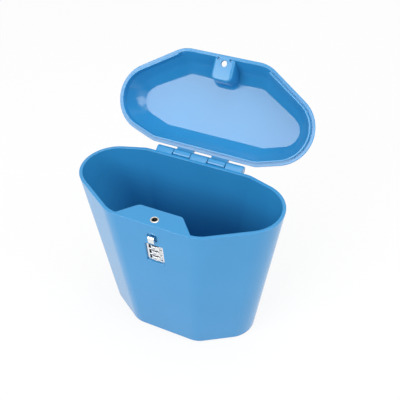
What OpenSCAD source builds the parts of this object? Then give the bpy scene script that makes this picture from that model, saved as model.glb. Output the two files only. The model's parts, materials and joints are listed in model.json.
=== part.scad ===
// Portable beach safe: a tapered plastic tub with a hinged lid, a lock housing behind its front
// wall and a three-dial lock whose latch takes the end of a cable through the lid.
// It stands on its base at the origin, with its front toward -Y and the lid open on its stop.

/* [Tub] */
// Width across the rim
rim_w = 186; // [176:1:206]
// Depth across the rim, front to back
rim_d = 88; // [84:1:98]
// Height from the base to the rim
body_h = 152; // [125:1:190]
// Width across the base
base_w = 145; // [135:1:160]
// Thickness of the tub's wall
wall = 3; // [2.6:0.1:3.6]
// Thickness of the tub's floor
floor_t = 3.2; // [2.4:0.1:6]
// Straight run across the front, between its corners
front_flat = 64; // [60:1:70]
// Straight run across the back, between its corners
back_flat = 94; // [88:1:104]
// Radius of the two front corners
front_corner_r = 28; // [22:1:32]
// Radius of the two ends
end_r = 32; // [28:1:36]
// Radius of the two back corners
back_corner_r = 20; // [18:1:24]
// How far the ends are centred behind the middle
end_back = 7; // [4:0.5:8]
// Radius of the edge round the base
base_edge_r = 2.5; // [2:0.5:6]
// Radius of the edge round the inside of the floor
floor_edge_r = 1.5; // [1:0.1:4]

/* [Lid] */
// Height of the lid
lid_h = 24; // [21:0.5:30]
// Thickness of the lid's top
lid_t = 2.8; // [2.2:0.1:3.4]
// Lean of the lid's sides from upright, in degrees
lid_lean = 27; // [18:1:30]
// Radius of the edge round the lid's top
lid_edge_r = 8; // [6:0.5:9]
// Angle at which the lid stands open, in degrees
lid_open = 127; // [105:1:130]
// Gap between the lid's rim and the tub's rim when shut
seam_gap = 0.3; // [0.2:0.05:0.6]
// How far the lid's lip reaches into the tub
lip_h = 3; // [2:0.1:4]
// Thickness of the lip
lip_t = 1.6; // [1.2:0.1:2.2]
// Gap between the lip and the inside of the tub
lip_gap = 0.5; // [0.4:0.05:0.8]
// Width of the break in the lip, across the front
lip_break = 86; // [80:1:96]

/* [Cable pocket in the lid] */
// Width of the pocket's boss at its face
boss_w = 20; // [18:0.5:22]
// How far the boss reaches back from the lid's front
boss_reach = 23; // [21:0.5:26]
// Radius of the edge round the boss's face
boss_edge_r = 2.6; // [1.5:0.1:3]
// Radius where the boss runs out into the lid's top
boss_root_r = 3; // [2:0.5:4]
// Thickness of the pocket's side walls
pocket_wall = 2.3; // [1.8:0.1:2.6]
// Thickness of the pocket's floor
pocket_floor = 2.6; // [2:0.1:3.4]
// Draft of the pocket's sides, in degrees
pocket_draft = 5; // [3:0.5:7]
// Diameter of the hole in the pocket's floor
pocket_hole_d = 5.6; // [5.2:0.1:6.4]
// Radius of the two small notches between the boss and the rim
notch_r = 1.3; // [0.8:0.1:1.6]
// Depth of the two notches
notch_depth = 1.3; // [0.8:0.1:1.8]
// Width of the bridge left between the notches
bridge_w = 9; // [8:0.5:11]

/* [Hinge] */
// Length of the whole hinge
hinge_len = 84; // [70:1:92]
// Number of knuckles, the outer two on the tub
knuckle_count = 5; // [3:2:7]
// Diameter of the knuckles
knuckle_d = 8; // [7:0.5:9]
// Gap between the knuckles and the tub's back
knuckle_back_gap = 1.5; // [1.2:0.1:2.5]
// Gap between neighbouring knuckles
knuckle_gap = 0.5; // [0.3:0.1:1]
// Depth of the pin's centre below the rim
hinge_drop = 2.4; // [2:0.1:3]
// Diameter of the pin
pin_d = 3; // [2:0.1:3.6]
// Height of the webs under the tub's knuckles
gusset_h = 8; // [6:0.5:12]
// Depth of those webs below the rim
gusset_drop = 1; // [0.6:0.1:1.4]
// Height of the webs over the lid's knuckles
web_h = 8; // [6:0.5:10]
// Height of the heels on the lid's knuckles
heel_h = 3.4; // [2.6:0.1:3.4]

/* [Lock housing] */
// Thickness of the shelf
shelf_t = 2.6; // [2:0.1:3]
// Thickness of the housing's walls
housing_wall = 2.2; // [1.8:0.1:2.8]
// Overhang of the shelf past the housing's sides
shelf_over = 3; // [1:0.1:4]
// Overhang of the shelf past the housing's back wall
shelf_lip = 0.4; // [0.2:0.1:1]
// Chamfer on the two back corners of the housing
housing_chamfer = 2; // [1:0.1:2.4]
// Diameter of the hole through the eyelet
eyelet_hole_d = 4.9; // [4.6:0.1:5.2]
// Thickness of the eyelet's tube
eyelet_wall = 0.5; // [0.4:0.05:0.7]
// Diameter of the eyelet's rolled edge
eyelet_roll_d = 1.4; // [1:0.05:1.6]
// Length of the eyelet
eyelet_len = 4.4; // [4:0.1:5]
// How far the eyelet stands behind the front face
plug_back = 7.3; // [6.8:0.1:8]
// Diameter of the four screw posts
post_d = 5.6; // [5:0.1:6.4]
// Diameter of the housing screws' shanks
screw_d = 2.4; // [2:0.1:2.8]
// Diameter of the housing screws' heads
screw_head_d = 5; // [4.4:0.1:6]
// Height of the housing screws' heads
screw_head_h = 1.8; // [1.4:0.1:2.4]
// Length of the housing screws' shanks
screw_len = 9; // [7:0.5:11]

/* [Dials] */
// Diameter of a dial
dial_d = 14; // [12.5:0.1:15]
// Thickness of a dial
dial_t = 4.4; // [4:0.1:5]
// Gap between neighbouring dials
dial_gap = 2.1; // [1.9:0.1:3]
// Depth of the middle dial's centre below the rim, along the face
dials_v = 35.4; // [34:0.1:44]
// How far the dials stand out of the frame
dial_proud = 1.4; // [1:0.1:1.5]
// Numbers on a dial
dial_digits = 10; // [8:1:12]
// Radius of the grooves between the numbers
groove_r = 0.5; // [0.4:0.05:0.7]
// Outer diameter of the code sleeves
sleeve_d = 8; // [7.6:0.1:9]
// Length of the code sleeves
sleeve_len = 2.4; // [2:0.1:2.6]
// Diameter of the spindle
spindle_d = 3.6; // [3.2:0.1:4]
// Thickness of the spindle's fins along its length
fin_t = 1; // [0.8:0.05:1.2]
// Width of the spindle's fins
fin_w = 1.1; // [0.9:0.05:1.4]
// Thickness of the clip on the spindle
clip_t = 0.6; // [0.5:0.05:0.8]
// How far the clip reaches past the spindle
clip_reach = 1.2; // [0.9:0.1:1.4]
// Depth of the clip's groove
clip_groove = 0.4; // [0.3:0.05:0.6]
// Thickness of the leaf spring behind the dials
leaf_t = 0.3; // [0.2:0.05:0.35]
// Width of the leaf spring
leaf_w = 7; // [6:0.1:9]
// Width of the spine that joins the leaf spring's fingers
leaf_spine = 2; // [1.5:0.1:2.5]

/* [Dial frame] */
// Depth of the frame's face below the front face
frame_inset = 1.6; // [1.4:0.1:2]
// Thickness of the frame
frame_t = 1; // [0.8:0.1:1.3]
// Width of the frame beside the slots
frame_side = 2.1; // [1.6:0.1:3]
// Width of the frame above and below the slots
frame_border = 1.6; // [1:0.1:2]
// Gap between the dials and the edges of their slots
slot_gap = 0.6; // [0.4:0.05:0.7]

/* [Release button] */
// Width of the button
button_w = 5.6; // [5:0.1:7]
// Height of the button
button_h = 6.6; // [6:0.1:7.4]
// How far the button stands out
button_out = 3; // [2.2:0.1:4]
// Depth of the button's centre below the rim, along the face
button_v = 15.4; // [15:0.1:16]
// Bevel on the button's upper edge
button_bevel = 1; // [0.6:0.1:1.6]
// Width of the thumb recess that shows round the button
thumb_gap = 1.4; // [1:0.1:2]
// Depth of the thumb recess
thumb_depth = 1; // [0.6:0.1:1.4]
// Radius of the thumb recess's corners
thumb_r = 2; // [1:0.1:2.6]
// Width of the button's neck
neck_w = 3; // [2.4:0.1:3.6]
// Thickness of the carrier behind the button
carrier_t = 3; // [2.6:0.1:3.4]
// Wall of the carrier behind the spindle
carrier_wall = 1; // [0.8:0.1:1.2]

/* [Latch and case] */
// Thickness of the latch plate
latch_t = 1.2; // [1:0.1:1.5]
// Travel of the latch plate
latch_travel = 3.2; // [3:0.1:3.4]
// Width of the slot that grips the cable end
latch_slot_w = 3.2; // [2.8:0.1:3.6]
// Diameter of the pin that drives the latch plate
drive_pin_d = 1.6; // [1.3:0.1:1.9]
// Room between the eyelet and the latch plate
latch_room = 2.4; // [2:0.1:2.6]
// Thickness of the case's walls
case_wall = 1.2; // [1:0.1:1.5]
// Thickness of the pad behind the dial frame
pad_t = 1.6; // [1.4:0.1:2.2]
// Diameter of the case screws' shanks
case_screw_d = 1.6; // [1.4:0.1:2]
// Diameter of the case screws' heads
case_screw_head_d = 3.2; // [2.8:0.1:3.6]
// Height of the case screws' heads
case_screw_head_h = 1.1; // [0.8:0.1:1.4]
// Diameter of the spring's wire
spring_wire_d = 0.5; // [0.4:0.05:0.6]
// Turns of the spring
spring_turns = 4; // [3:0.5:5]

/* [Clearances] */
// Running clearance on the hinge pin and on the spindle
run_fit = 0.06; // [0.03:0.01:0.1]
// Clearance of pressed and screwed joints
press_fit = 0.02; // [0.01:0.01:0.04]
// Gap between fixed pieces that lie side by side
seat_gap = 0.1; // [0.05:0.01:0.15]
// Gap round pieces that slide or turn
slide_gap = 0.3; // [0.25:0.05:0.4]
// Gap between the lid's heels and the tub when open
stop_gap = 0.15; // [0.1:0.01:0.3]

/* [Hidden] */
$fn = 64;
// Overshoot of cuts, and how deep a joined shape is sunk into its carrier
cut = 1;
// Largest turn between two points of a rounded outline, in degrees
arc_step = 6;
// Levels across the edge round the lid's top
edge_steps = 6;
// Proportions of a screw's head: its top, and its cross cut's width and length
head_top_share = 0.7;
cross_w_share = 0.17;
cross_len_share = 0.66;
// Rings in a turn of the spring, and sides of its wire
turn_rings = 8;
wire_sides = 6;

half_w = rim_w / 2;
half_d = rim_d / 2;
base_share = base_w / rim_w;
// Lean of the front and back walls
draft = atan(half_d * (1 - base_share) / body_h);

// Round corners of the rim outline, counter-clockwise: centre x, centre y and radius
function mirrored(c) = [-c.x, c.y, c[2]];
front_disc = [front_flat / 2, front_corner_r - half_d, front_corner_r];
end_disc = [half_w - end_r, end_back, end_r];
back_disc = [back_flat / 2, half_d - back_corner_r, back_corner_r];
rim_discs = [
    mirrored(front_disc), front_disc, end_disc, back_disc, mirrored(back_disc), mirrored(end_disc)
];

// Hinge
knuckle_r = knuckle_d / 2;
pin_r = pin_d / 2;
hinge_out = knuckle_r + knuckle_back_gap;
hinge_y = half_d + hinge_out;
hinge_z = body_h - hinge_drop;
knuckle_pitch = hinge_len / knuckle_count;

// Dials: v runs along the front face and is negative below the rim, w runs inward from the face
dial_r = dial_d / 2;
dial_pitch = dial_t + dial_gap;
axis_w = frame_inset - dial_proud + dial_r;
function dial_v(i) = (1 - i) * dial_pitch - dials_v;
spindle_r = spindle_d / 2;
sleeve_r = sleeve_d / 2;
// The fins pass from one side of their sleeves to the other
slide_travel = sleeve_len + fin_t + 2 * slide_gap;
fin_reach = (spindle_r + sleeve_r) / 2;

// Dial frame and its seat in the front wall
seat_w = frame_inset + frame_t;
pad_w = wall + pad_t;
// Half width of the dials at a depth behind the face
function dial_half(w) = sqrt(dial_r * dial_r - (axis_w - w) * (axis_w - w));
slot_half = dial_half(seat_w) + slot_gap;
slot_h = dial_t + 2 * slot_gap;
frame_w = 2 * (slot_half + frame_side);
frame_h = 2 * dial_pitch + slot_h + 2 * frame_border;
window_half = dial_half(pad_w) + slide_gap;
window_h = 2 * dial_pitch + slot_h;

// Lock case
case_half = dial_r + 2 * slide_gap + case_wall;
case_front = pad_w + seat_gap;
case_back = axis_w + dial_r + 2 * slide_gap + case_wall;
case_floor = dial_v(2) - dial_t / 2 - fin_t - 2 * slide_gap;
case_bottom = case_floor - case_wall;
case_bridge = dial_v(0) + dial_t / 2 + slide_gap;
case_screw_u = case_half + case_screw_head_d / 2 + slide_gap;
case_flange_half = case_screw_u + case_screw_head_d / 2 + slide_gap;
case_screws_v = [dial_v(0), dial_v(2)];

// Latch
function plug_w(v) = plug_back * cos(draft) + tan(draft) * (v + plug_back * sin(draft));
latch_top = -eyelet_len - latch_room;
latch_mid = latch_top - latch_t / 2;
latch_low = latch_top - latch_t;
latch_hole_r = eyelet_hole_d / 2 + slide_gap;
carrier_v = -button_v;
carrier_half = spindle_r + case_wall;
carrier_back = axis_w + spindle_r + carrier_wall;
drive_pin_r = drive_pin_d / 2;
tab_w = carrier_back + slide_gap;
latch_front = wall + 2 * slide_gap;
latch_back = tab_w + latch_t;
latch_end = case_half + 2 * slide_gap;
case_top = latch_top + 2 * slide_gap + case_wall;

// Spindle and its clip
clip_r = spindle_r + clip_reach;
clip_v = case_bottom - slide_gap - clip_t;
spindle_end = clip_v - clip_t;

// Lock housing
housing_back = case_back + seat_gap + housing_wall;
housing_low = spindle_end - slide_travel - 2 * slide_gap;
housing_bottom = housing_low - housing_wall;
post_r = post_d / 2;
post_u = case_flange_half + seat_gap;
post_top = carrier_v + carrier_t / 2 - post_r / 2;
post_low = housing_low + post_r + slide_gap;
posts_v = [post_top, post_low];
housing_back_half = post_u + post_r + slide_gap + housing_wall;
function share_at(z) = base_share + (1 - base_share) * z / body_h;
housing_front_half = front_flat / 2 * share_at(body_h + housing_bottom) - slide_gap;
shelf_half = front_flat / 2 + shelf_over / 2;
shelf_back_half = housing_back_half + shelf_over;
eyelet_r = eyelet_hole_d / 2 + eyelet_wall;
eyelet_roll_r = eyelet_roll_d / 2;

plastic = "#3d8fd1";
chrome = "#dfe3e8";
steel = "#a9adb3";
brass = "#c8a24a";
zinc = "#8f949b";

// Outline round a ring of discs: share scales their places and sizes, inset draws it in
function edge_normal(a, b) =
    let (d = [b.x - a.x, b.y - a.y])
    atan2(d.y, d.x) - acos((a[2] - b[2]) / norm(d));
function arc_points(c, from, span, share, inset) =
    let (steps = max(1, ceil(span / arc_step)))
    [for (i = [0 : steps])
        let (a = from + span * i / steps)
        share * [c.x, c.y] + (share * c[2] - inset) * [cos(a), sin(a)]];
function outline(discs, share = 1, inset = 0) =
    let (n = len(discs))
    [for (i = [0 : n - 1])
        let (
            from = edge_normal(discs[(i + n - 1) % n], discs[i]),
            to = edge_normal(discs[i], discs[(i + 1) % n]),
            span = ((to - from) % 360 + 360) % 360
        )
        each arc_points(discs[i], from, span, share, inset)];

// Closed solid through outlines at rising levels, each with its height, share and inset
module loft(discs, levels) {
    rings = [for (lv = levels) [for (p = outline(discs, lv[1], lv[2])) [p.x, p.y, lv[0]]]];
    n = len(rings[0]);
    top = n * (len(levels) - 1);
    sides = [
        for (k = [0 : len(levels) - 2])
            for (i = [0 : n - 1])
                let (a = k * n + i, b = k * n + (i + 1) % n)
                each [[a, a + n, b + n], [a, b + n, b]]
    ];
    low_cap = [for (i = [0 : n - 1]) i];
    high_cap = [for (i = [n - 1 : -1 : 0]) top + i];
    polyhedron([for (r = rings) each r], concat([low_cap], sides, [high_cap]));
}

// Discs of a rounded rectangle
function box_discs(x0, x1, y0, y1, r) = [
    [x0 + r, y0 + r, r], [x1 - r, y0 + r, r], [x1 - r, y1 - r, r], [x0 + r, y1 - r, r]
];

// Places: the front wall's frame, the open lid, and a profile drawn in Y and Z and run along X
module on_front() {
    translate([0, -half_d, body_h])
        rotate([draft, 0, 0])
            children();
}

module lid_opened() {
    translate([0, hinge_y, hinge_z])
        rotate([-lid_open, 0, 0])
            translate([0, -hinge_y, -hinge_z])
                children();
}

module along_x(from, length) {
    translate([from, 0, 0])
        rotate([90, 0, 90])
            linear_extrude(length)
                children();
}

module inward(u, w, v) {
    translate([u, w, v])
        rotate([-90, 0, 0])
            children();
}

module block(u, w, v) {
    translate([u[0], w[0], v[0]])
        cube([u[1] - u[0], w[1] - w[0], v[1] - v[0]]);
}

// Hinge knuckles: the tub has the even ones and the lid the odd ones
module knuckles(first) {
    for (i = [first : 2 : knuckle_count - 1])
        along_x(i * knuckle_pitch - hinge_len / 2 + knuckle_gap / 2, knuckle_pitch - knuckle_gap)
            translate([hinge_y, hinge_z])
                children();
}

module hinge_bore(clear) {
    translate([-hinge_len / 2 - cut, hinge_y, hinge_z])
        rotate([0, 90, 0])
            cylinder(r = pin_r + clear, h = hinge_len + 2 * cut);
}

module tub_knuckle() {
    sunk = wall / 2;
    back = -hinge_out - sunk - hinge_drop * tan(draft);
    circle(r = knuckle_r);
    polygon([
        [back, hinge_drop - gusset_drop],
        [-knuckle_r / 2, knuckle_r * sin(60)],
        [knuckle_r / 2, -knuckle_r * sin(60)],
        [back - gusset_h * tan(draft), -gusset_h]
    ]);
}

module lid_knuckle() {
    rim = hinge_drop + seam_gap;
    sunk = wall / 2;
    circle(r = knuckle_r);
    polygon([
        [-hinge_out - sunk, rim + knuckle_gap],
        [-knuckle_r * cos(30), knuckle_r / 2],
        [knuckle_r / 2, knuckle_r * sin(60)],
        [-hinge_out - sunk - web_h * tan(lid_lean), rim + web_h]
    ]);
}

// Heel on each lid knuckle, which meets the tub's back and stops the lid
module lid_heel() {
    face = hinge_out + hinge_drop * tan(draft) - stop_gap;
    root = -knuckle_r / 2;
    polygon([[-face, 0], [root, 0], [root, -heel_h], [-face - heel_h * tan(draft), -heel_h]]);
}

// Tub
module tub_skin() {
    levels = [
        for (a = [0 : 15 : 90])
            let (z = base_edge_r * (1 - cos(a)))
            [z, share_at(z), base_edge_r * (1 - sin(a))]
    ];
    loft(rim_discs, concat(levels, [[body_h, 1, 0]]));
}

module tub_hollow() {
    levels = [
        for (a = [0 : 30 : 90])
            let (z = floor_t + floor_edge_r * (1 - cos(a)))
            [z, share_at(z), wall + floor_edge_r * (1 - sin(a))]
    ];
    loft(rim_discs, concat(levels, [[body_h + cut, share_at(body_h + cut), wall]]));
}

module screw_posts() {
    for (u = [-post_u, post_u], v = posts_v)
        inward(u, wall - cut, v)
            cylinder(r = post_r, h = case_back - wall + cut);
}

module post_holes() {
    for (u = [-post_u, post_u], v = posts_v)
        inward(u, case_back - screw_len + housing_wall - cut, v)
            cylinder(r = screw_d / 2 + press_fit, h = screw_len + cut);
}

module lock_pad() {
    block(
        [-case_flange_half, case_flange_half],
        [wall - cut, pad_w],
        [case_bottom, case_bridge + case_wall]
    );
}

// Recess round the upper part of the button, which the button uncovers as it slides down
module thumb_recess() {
    half = button_w / 2 + thumb_gap;
    inward(0, -cut, carrier_v)
        linear_extrude(cut + thumb_depth)
            polygon(outline(box_discs(-half, half, -button_h / 2 - thumb_gap, button_h / 2, thumb_r)));
}

module lock_cuts() {
    mid = -dials_v;
    seat_half = frame_w / 2 + seat_gap;
    seat_h = frame_h / 2 + seat_gap;
    block([-seat_half, seat_half], [-cut, seat_w], [mid - seat_h, mid + seat_h]);
    block([-window_half, window_half], [0, pad_w + cut], [mid - window_h / 2, mid + window_h / 2]);
    slot_top = carrier_v + carrier_t / 2 + slide_gap;
    slot_low = carrier_v - carrier_t / 2 - slide_travel - slide_gap;
    neck = neck_w / 2 + slide_gap;
    block([-neck, neck], [-cut, wall + cut], [slot_low, slot_top]);
    for (u = [-case_screw_u, case_screw_u], v = case_screws_v)
        inward(u, seat_w, v)
            cylinder(r = case_screw_d / 2 + press_fit, h = pad_w);
}

module tub() {
    color(plastic)
        difference() {
            union() {
                difference() {
                    tub_skin();
                    tub_hollow();
                }
                on_front() {
                    screw_posts();
                    lock_pad();
                }
                knuckles(0)
                    tub_knuckle();
            }
            on_front() {
                post_holes();
                lock_cuts();
                thumb_recess();
            }
            hinge_bore(press_fit);
        }
}

// Lid, drawn shut with its rim at zero height
module lid_skin() {
    z = lid_h - lid_edge_r;
    inset = (lid_edge_r + z * sin(lid_lean)) / cos(lid_lean);
    arc = [
        for (i = [0 : edge_steps])
            let (a = lid_lean + (90 - lid_lean) * i / edge_steps)
            [z + lid_edge_r * sin(a), 1, inset - lid_edge_r * cos(a)]
    ];
    loft(rim_discs, concat([[0, 1, 0]], arc));
}

module lid_hollow() {
    r = lid_edge_r - lid_t;
    z = lid_h - lid_edge_r;
    inset = wall + (r + z * sin(lid_lean)) / cos(lid_lean);
    arc = [
        for (i = [0 : edge_steps])
            let (a = lid_lean + (90 - lid_lean) * i / edge_steps)
            [z + r * sin(a), 1, inset - r * cos(a)]
    ];
    loft(rim_discs, concat([[-cut, 1, wall - cut * tan(lid_lean)]], arc));
}

// The boss and its pocket widen toward the lid's top
module boss() {
    discs = box_discs(-boss_w / 2, boss_w / 2, -half_d, boss_reach - half_d, 2 * boss_edge_r);
    edge = [
        for (a = [0 : 30 : 90])
            [boss_edge_r * (1 - cos(a)), 1, boss_edge_r * (1 - sin(a))]
    ];
    // The root ends a little way inside the lid's top, so that the two surfaces cross
    root_z = lid_h - lid_t - boss_root_r + seat_gap;
    root = [
        for (a = [0 : 30 : 90])
            let (z = root_z + boss_root_r * sin(a))
            [z, 1, -z * tan(pocket_draft) - boss_root_r * (1 - cos(a))]
    ];
    loft(discs, concat(edge, root, [[lid_h, 1, root[len(root) - 1][2]]]));
}

module pocket() {
    side = boss_w / 2 - pocket_wall;
    back = boss_reach - half_d - pocket_wall;
    discs = box_discs(-side, side, wall - half_d, back, boss_edge_r);
    loft(discs, [[pocket_floor, 1, 0], [lid_h + cut, 1, -lid_h * tan(pocket_draft)]]);
    translate([0, plug_back - half_d, -cut])
        cylinder(d = pocket_hole_d, h = pocket_floor + 2 * cut);
}

// Two notches beside the bridge that joins the boss's face to the rim
module boss_notches() {
    for (side = [-1, 1])
        translate([side * (bridge_w / 2 + notch_r), wall + notch_r / 2 - half_d, -cut])
            cylinder(r = notch_r, h = notch_depth + cut);
}

module lip() {
    merge = (lip_gap + lip_t) / tan(lid_lean);
    translate([0, 0, -lip_h])
        linear_extrude(lip_h + merge)
            difference() {
                polygon(outline(rim_discs, 1, wall + lip_gap));
                polygon(outline(rim_discs, 1, wall + lip_gap + lip_t));
                translate([-lip_break / 2, -half_d])
                    square([lip_break, half_d]);
            }
}

module lid() {
    color(plastic)
        difference() {
            union() {
                lid_opened() {
                    translate([0, 0, body_h + seam_gap])
                        difference() {
                            union() {
                                difference() {
                                    lid_skin();
                                    difference() {
                                        lid_hollow();
                                        boss();
                                    }
                                }
                                lip();
                            }
                            pocket();
                            boss_notches();
                        }
                    knuckles(1)
                        lid_knuckle();
                }
                knuckles(1)
                    lid_heel();
            }
            hinge_bore(run_fit);
        }
}

module hinge_pin() {
    color(steel)
        translate([-hinge_len / 2 + knuckle_gap / 2, hinge_y, hinge_z])
            rotate([0, 90, 0])
                cylinder(r = pin_r, h = hinge_len - knuckle_gap);
}

// Lock housing: a shelf flush with the rim over a box that closes on the front wall
module housing_plan(front, back, near, depth, chamfer) {
    polygon([
        [-front, near], [front, near],
        [back, depth - chamfer], [back - chamfer, depth],
        [chamfer - back, depth], [-back, depth - chamfer]
    ]);
}

module housing_box() {
    near = wall + seat_gap;
    back = housing_back - housing_wall;
    inner_front = housing_front_half - housing_wall;
    inner_back = housing_back_half - housing_wall;
    difference() {
        translate([0, 0, housing_bottom])
            linear_extrude(-housing_bottom)
                housing_plan(housing_front_half, housing_back_half, near, housing_back, housing_chamfer);
        translate([0, 0, housing_low])
            linear_extrude(-housing_low + cut)
                polygon([
                    [-inner_front, near - cut], [inner_front, near - cut],
                    [inner_back, back], [-inner_back, back]
                ]);
    }
}

module shelf() {
    near = wall + seat_gap;
    depth = housing_back + shelf_lip;
    // Tall enough to span the level slab that trims it
    tall = 2 * shelf_t + depth * tan(draft);
    intersection() {
        on_front()
            translate([0, 0, -tall])
                linear_extrude(2 * tall)
                    housing_plan(shelf_half, shelf_back_half, near, depth, housing_chamfer);
        translate([-half_w, -half_d, body_h - shelf_t])
            cube([rim_w, rim_d, shelf_t]);
    }
}

module lock_housing() {
    color(plastic)
        difference() {
            union() {
                difference() {
                    on_front()
                        housing_box();
                    translate([-half_w, -half_d, body_h - shelf_t / 2])
                        cube([rim_w, rim_d, housing_back]);
                }
                shelf();
            }
            translate([0, plug_back - half_d, body_h]) {
                translate([0, 0, -shelf_t - cut])
                    cylinder(r = eyelet_r + press_fit, h = shelf_t + 2 * cut);
                translate([0, 0, -eyelet_roll_r])
                    cylinder(r = eyelet_r + eyelet_roll_r + press_fit, h = shelf_t);
            }
            on_front()
                for (u = [-post_u, post_u], v = posts_v)
                    inward(u, housing_back - housing_wall - cut, v)
                        cylinder(r = screw_d / 2 + slide_gap, h = housing_wall + 2 * cut);
        }
}

// Screws: a domed head over a shank, with a cross cut in the head
module screw(shank_d, length, head_d, head_h) {
    slot = cross_w_share * head_d;
    slot_len = cross_len_share * head_d;
    rotate([-90, 0, 0])
        difference() {
            union() {
                translate([0, 0, -length])
                    cylinder(d = shank_d, h = length);
                cylinder(d1 = head_d, d2 = head_top_share * head_d, h = head_h);
            }
            for (a = [0, 90])
                rotate(a)
                    translate([-slot_len / 2, -slot / 2, head_h / 2])
                        cube([slot_len, slot, head_h]);
        }
}

module housing_screws() {
    color(steel)
        on_front()
            for (u = [-post_u, post_u], v = posts_v)
                translate([u, housing_back, v])
                    screw(screw_d, screw_len, screw_head_d, screw_head_h);
}

module case_screws() {
    color(steel)
        on_front()
            for (u = [-case_screw_u, case_screw_u], v = case_screws_v)
                translate([u, case_front + case_wall, v])
                    screw(case_screw_d, case_wall + pad_t, case_screw_head_d, case_screw_head_h);
}

// Eyelet: a tube with a rolled edge, almost flush with the shelf
module eyelet() {
    color(chrome)
        translate([0, plug_back - half_d, body_h])
            rotate_extrude() {
                translate([eyelet_hole_d / 2, -eyelet_len])
                    square([eyelet_wall, eyelet_len - eyelet_roll_r + seat_gap]);
                translate([eyelet_r, seat_gap - eyelet_roll_r])
                    intersection() {
                        circle(r = eyelet_roll_r);
                        translate([-eyelet_wall, 0])
                            square(eyelet_wall + eyelet_roll_r);
                    }
            }
}

// Frame round the dials
module dial_frame() {
    color(chrome)
        on_front()
            difference() {
                block(
                    [-frame_w / 2, frame_w / 2],
                    [frame_inset, seat_w],
                    [-dials_v - frame_h / 2, -dials_v + frame_h / 2]
                );
                for (i = [0 : 2])
                    block(
                        [-slot_half, slot_half],
                        [0, seat_w + cut],
                        [dial_v(i) - slot_h / 2, dial_v(i) + slot_h / 2]
                    );
            }
}

module on_axis(v) {
    on_front()
        translate([0, axis_w, v])
            children();
}

// Dial with a groove between neighbouring numbers
module dial(i) {
    color(chrome)
        on_axis(dial_v(i) - dial_t / 2)
            difference() {
                cylinder(r = dial_r, h = dial_t);
                translate([0, 0, -cut])
                    cylinder(r = sleeve_r + press_fit, h = dial_t + 2 * cut);
                for (k = [0 : dial_digits - 1])
                    rotate((k + 0.5) * 360 / dial_digits)
                        translate([dial_r + groove_r / 3, 0, -cut])
                            cylinder(r = groove_r, h = dial_t + 2 * cut);
            }
}

// Sleeve in a dial, with the gate that lets its fin through
module code_sleeve(i) {
    color(brass)
        on_axis(dial_v(i) - dial_t / 2)
            difference() {
                cylinder(r = sleeve_r, h = sleeve_len);
                translate([0, 0, -cut])
                    cylinder(r = spindle_r + run_fit, h = sleeve_len + 2 * cut);
                translate([-fin_w / 2 - slide_gap, 0, -cut])
                    cube([fin_w + 2 * slide_gap, fin_reach + slide_gap, sleeve_len + 2 * cut]);
            }
}

module spindle() {
    color(steel)
        on_axis(0) {
            difference() {
                translate([0, 0, spindle_end])
                    cylinder(r = spindle_r, h = carrier_v + carrier_t / 2 - spindle_end);
                translate([0, 0, clip_v - press_fit])
                    difference() {
                        cylinder(r = spindle_r + cut, h = clip_t + 2 * press_fit);
                        cylinder(r = spindle_r - clip_groove, h = clip_t + 2 * press_fit);
                    }
            }
            for (i = [0 : 2])
                translate([-fin_w / 2, 0, dial_v(i) - dial_t / 2 + sleeve_len + slide_gap])
                    cube([fin_w, fin_reach, fin_t]);
        }
}

// Spring clip in the spindle's groove, open on one side
module spindle_clip() {
    inner = spindle_r - clip_groove + press_fit;
    color(steel)
        on_axis(clip_v)
            difference() {
                cylinder(r = clip_r, h = clip_t);
                translate([0, 0, -cut])
                    cylinder(r = inner, h = clip_t + 2 * cut);
                translate([-inner, -clip_r - cut, -cut])
                    cube([2 * inner, clip_r + cut, clip_t + 2 * cut]);
            }
}

// Return spring round the spindle, as one tube swept along its helix
spring_r = spindle_r + spring_wire_d;
spring_low = case_bridge + case_wall + spring_wire_d / 2 + seat_gap;
spring_high = carrier_v - carrier_t / 2 - spring_wire_d / 2 - seat_gap;
spring_steps = ceil(turn_rings * spring_turns);
function coil_angle(i) = 360 * spring_turns * i / spring_steps;
function coil_height(i) = spring_low + (spring_high - spring_low) * i / spring_steps;
function coil_point(i) = [
    spring_r * cos(coil_angle(i)), spring_r * sin(coil_angle(i)), coil_height(i)
];
// Least gap between the wire and its next turn
spring_gap = min([
    for (i = [0 : spring_steps])
        for (j = [0 : spring_steps])
            if (abs(coil_angle(i) - coil_angle(j)) > 180)
                norm(coil_point(i) - coil_point(j)) - spring_wire_d
]);
echo(spring_gap = spring_gap);

module return_spring() {
    sides = wire_sides;
    wire_r = spring_wire_d / 2;
    points = [
        for (i = [0 : spring_steps])
            let (a = coil_angle(i), out = [cos(a), sin(a), 0])
            for (k = [0 : sides - 1])
                let (b = 360 * k / sides)
                coil_point(i) + wire_r * (cos(b) * out + sin(b) * [0, 0, 1])
    ];
    walls = [
        for (i = [0 : spring_steps - 1])
            for (k = [0 : sides - 1])
                let (a = i * sides + k, b = i * sides + (k + 1) % sides)
                each [[a, b, b + sides], [a, b + sides, a + sides]]
    ];
    last = spring_steps * sides;
    start_cap = [for (k = [sides - 1 : -1 : 0]) k];
    end_cap = [for (k = [0 : sides - 1]) last + k];
    color(steel)
        on_axis(0)
            polyhedron(points, concat([start_cap], walls, [end_cap]));
}

// Leaf spring behind the dials, one finger for each
module detent_spring() {
    back = case_back - case_wall - seat_gap / 2;
    half = leaf_w / 2;
    color(steel)
        on_front()
            difference() {
                block(
                    [-half, half],
                    [back - leaf_t, back],
                    [case_floor + slide_gap, case_bridge - slide_gap]
                );
                for (i = [0 : 1])
                    block(
                        [-half - cut, half - leaf_spine],
                        [back - leaf_t - cut, back + cut],
                        [dial_v(i + 1) + dial_t / 2, dial_v(i) - dial_t / 2]
                    );
            }
}

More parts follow.
